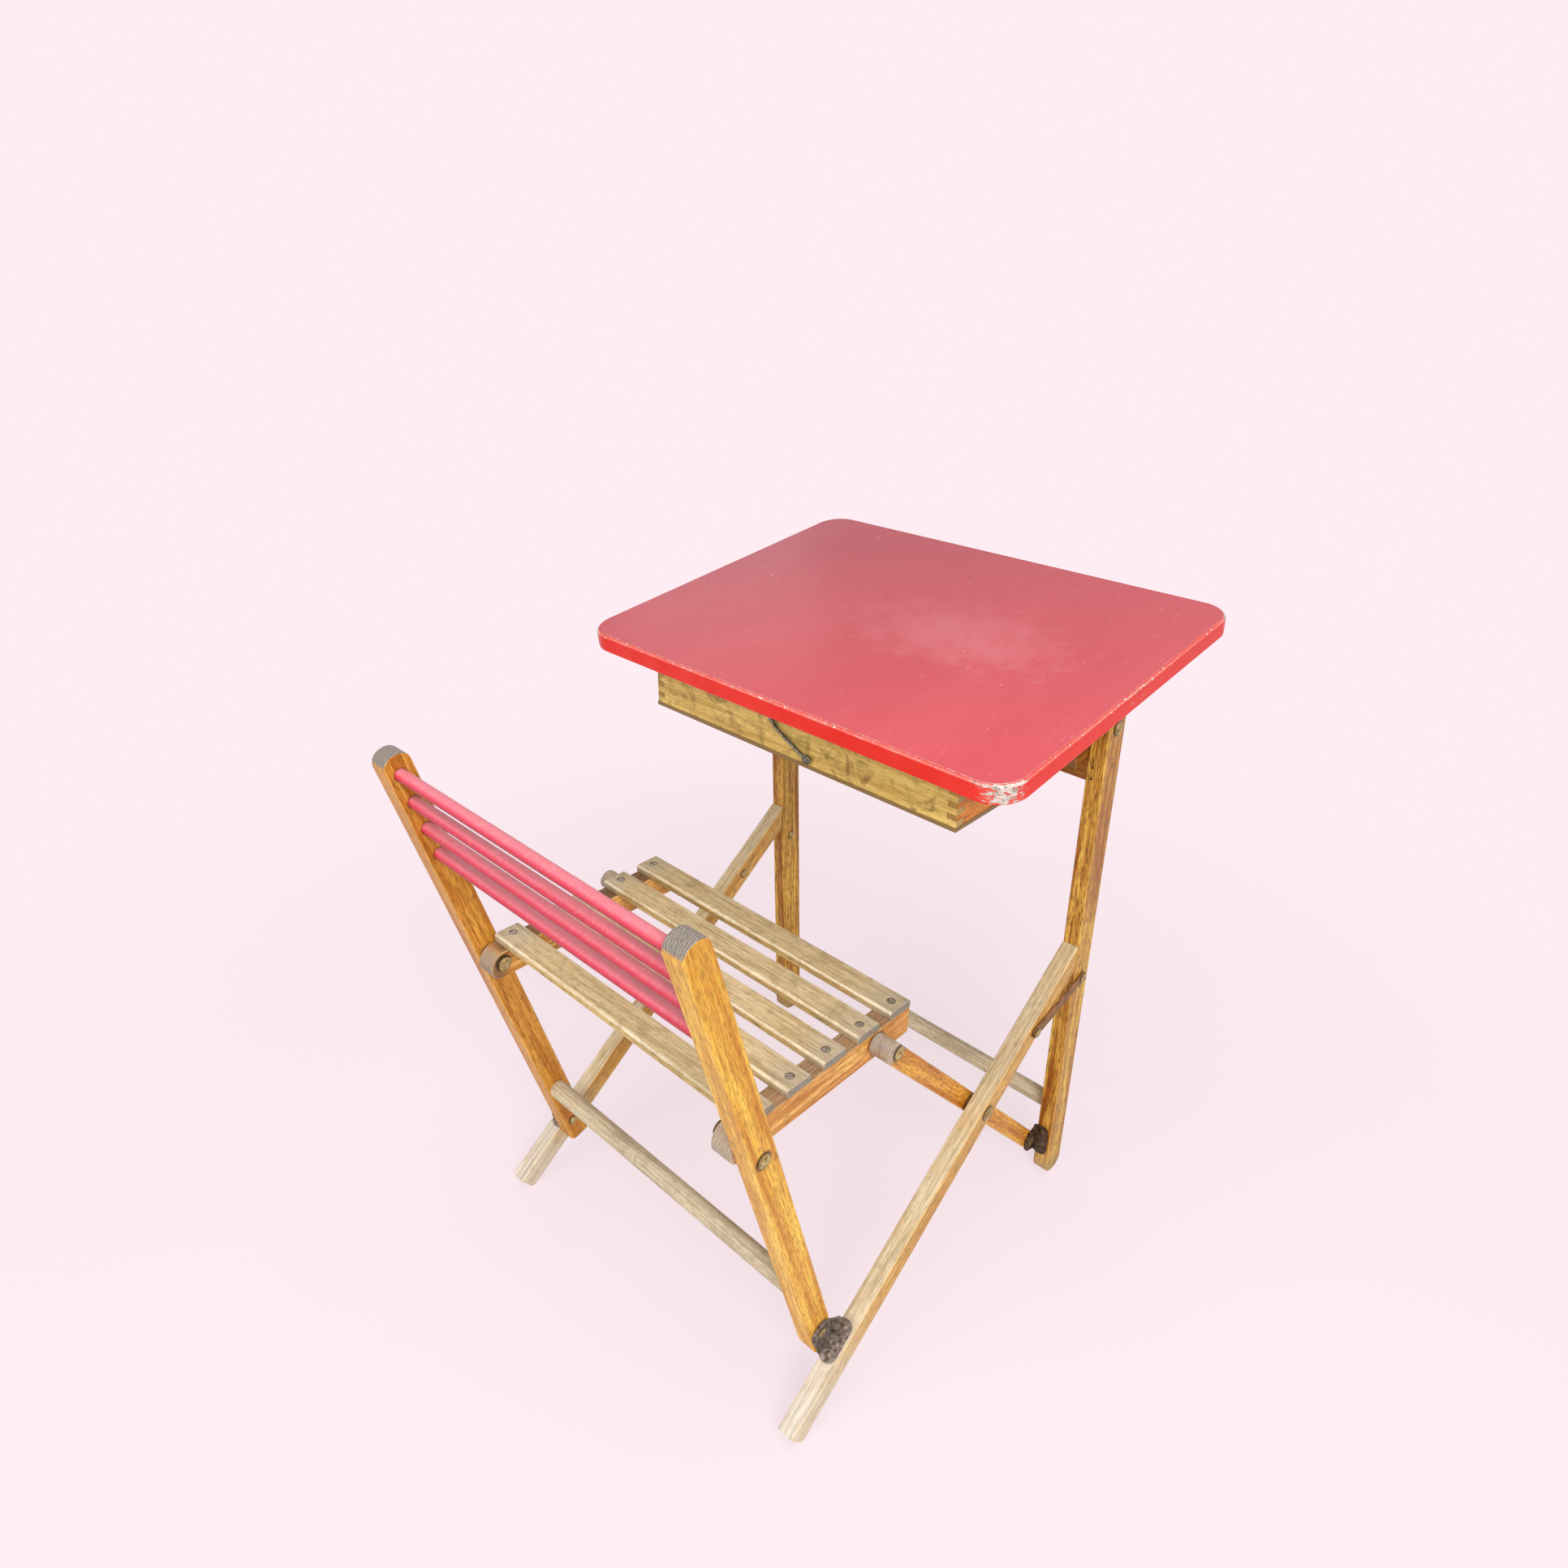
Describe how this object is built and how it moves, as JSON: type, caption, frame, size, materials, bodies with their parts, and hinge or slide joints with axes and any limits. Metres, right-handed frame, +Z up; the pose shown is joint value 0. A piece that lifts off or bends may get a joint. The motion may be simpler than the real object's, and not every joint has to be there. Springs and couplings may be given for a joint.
{
  "type": "folding school desk",
  "caption": "Folding wooden school desk with an attached slatted seat and rodded back, and a sloping red laminate top over a shallow drawer.",
  "frame": {"origin": "middle of the desk's box at floor level, with the desk open", "axes": "+X to the sitter's right, +Y forward from the seat to the desk top, +Z up"},
  "size_m": [0.502, 0.654, 0.663],
  "materials": {
    "leg_wood": "worn varnish",
    "dowel_wood": "weathered",
    "upright_wood": "varnished",
    "post_wood": "varnished",
    "rod_paint": "painted",
    "link_wood": "varnished",
    "seat_rail_wood": "varnished",
    "slat_wood": "weathered",
    "cross_rail_wood": "varnished",
    "bearer_wood": "plain",
    "board_edge_paint": "painted edge",
    "top_laminate": "worn gloss",
    "drawer_front_wood": "plain",
    "drawer_side_wood": "plain",
    "drawer_ply": "plain",
    "bracket_screw_steel": "dull",
    "bracket_steel": "rusted",
    "stay_steel": "rusted",
    "slat_screw_steel": "dull",
    "pin_steel": "dark",
    "wire_steel": "dark",
    "bolt_brass": "dull"
  },
  "bodies": {
    "long_legs": {"long_leg_left": "leg_wood", "long_leg_right": "leg_wood", "post_bracket_left": "bracket_steel", "post_bracket_right": "bracket_steel", "post_bracket_screws": "bracket_screw_steel", "post_rivets": "bolt_brass", "link_bolt_left": "bolt_brass", "link_bolt_right": "bolt_brass", "stay_leg_rivets": "bolt_brass"},
    "links": {"link_left": "link_wood", "link_right": "link_wood", "link_seat_bolt_left": "bolt_brass", "link_seat_bolt_right": "bolt_brass"},
    "uprights": {"upright_left": "upright_wood", "upright_right": "upright_wood", "upright_dowel": "dowel_wood", "cross_rail": "cross_rail_wood", "rail_pins": "pin_steel", "foot_bracket_left": "bracket_steel", "foot_bracket_right": "bracket_steel", "foot_bracket_screws": "bracket_screw_steel", "foot_rivets": "bolt_brass", "stay_upright_rivets": "bolt_brass", "desk_bolt_left": "bolt_brass", "desk_bolt_right": "bolt_brass"},
    "stays": {"stay_left": "stay_steel", "stay_right": "stay_steel", "stay_end_rivets": "bolt_brass"},
    "back": {"back_post_left": "post_wood", "back_post_right": "post_wood", "back_rod_1": "rod_paint", "back_rod_2": "rod_paint", "back_rod_3": "rod_paint", "back_rod_4": "rod_paint", "post_dowel": "dowel_wood", "seat_bolt_left": "bolt_brass", "seat_bolt_right": "bolt_brass"},
    "seat": {"seat_rail_left": "seat_rail_wood", "seat_rail_right": "seat_rail_wood", "seat_slat_1": "slat_wood", "seat_slat_2": "slat_wood", "seat_slat_3": "slat_wood", "seat_slat_4": "slat_wood", "seat_slat_5": "slat_wood", "slat_screws": "slat_screw_steel", "link_nuts": "bolt_brass"},
    "desk_top": {"top_board": "board_edge_paint", "top_laminate": "top_laminate", "bearer_left": "bearer_wood", "bearer_right": "bearer_wood", "drawer_runner_left": "bearer_wood", "drawer_runner_right": "bearer_wood"},
    "drawer": {"drawer_front": "drawer_front_wood", "drawer_back": "drawer_front_wood", "drawer_side_left": "drawer_side_wood", "drawer_side_right": "drawer_side_wood", "drawer_bottom": "drawer_ply", "hook_pin": "wire_steel"},
    "hook": {"wire_hook": "wire_steel"}
  },
  "joints": [
    {"name": "frame_fold", "type": "hinge", "parent": "long_legs", "child": "links", "pos_m": [0, 0.03816, 0.207], "axis": [-1, 0, 0], "range_deg": [0, 91.01]},
    {"name": "upright_fold", "type": "hinge", "parent": "links", "child": "uprights", "pos_m": [0, 0.18176, 0.0492], "axis": [1, 0, 0], "range_deg": [0, 34.02]},
    {"name": "back_fold", "type": "hinge", "parent": "long_legs", "child": "back", "pos_m": [0, -0.17884, 0.085], "axis": [-1, 0, 0], "range_deg": [0, 66.16]},
    {"name": "seat_fold", "type": "hinge", "parent": "back", "child": "seat", "pos_m": [0, -0.25384, 0.353], "axis": [1, 0, 0], "range_deg": [0, 91.76]},
    {"name": "stay_fold", "type": "hinge", "parent": "long_legs", "child": "stays", "pos_m": [0, 0.11252, 0.26277], "axis": [-1, 0, 0], "range_deg": [0, 122.75]},
    {"name": "desk_tilt", "type": "hinge", "parent": "uprights", "child": "desk_top", "pos_m": [0, 0.18737, 0.57238], "axis": [-1, 0, 0], "range_deg": [0, 88]},
    {"name": "drawer_slide", "type": "slide", "parent": "desk_top", "child": "drawer", "axis": [0, -1, 0], "range_m": [0, 0.12]},
    {"name": "hook_swing", "type": "hinge", "parent": "drawer", "child": "hook", "pos_m": [0.023, -0.02614, 0.5472], "axis": [0, -1, 0], "range_deg": [0, 110]}
  ],
  "couplings": [
    {"joint": "upright_fold", "follows": "frame_fold", "ratio": 0.37371},
    {"joint": "back_fold", "follows": "frame_fold", "ratio": 0.72679},
    {"joint": "seat_fold", "follows": "frame_fold", "ratio": 1.0081},
    {"joint": "stay_fold", "follows": "frame_fold", "ratio": 1.3486}
  ]
}
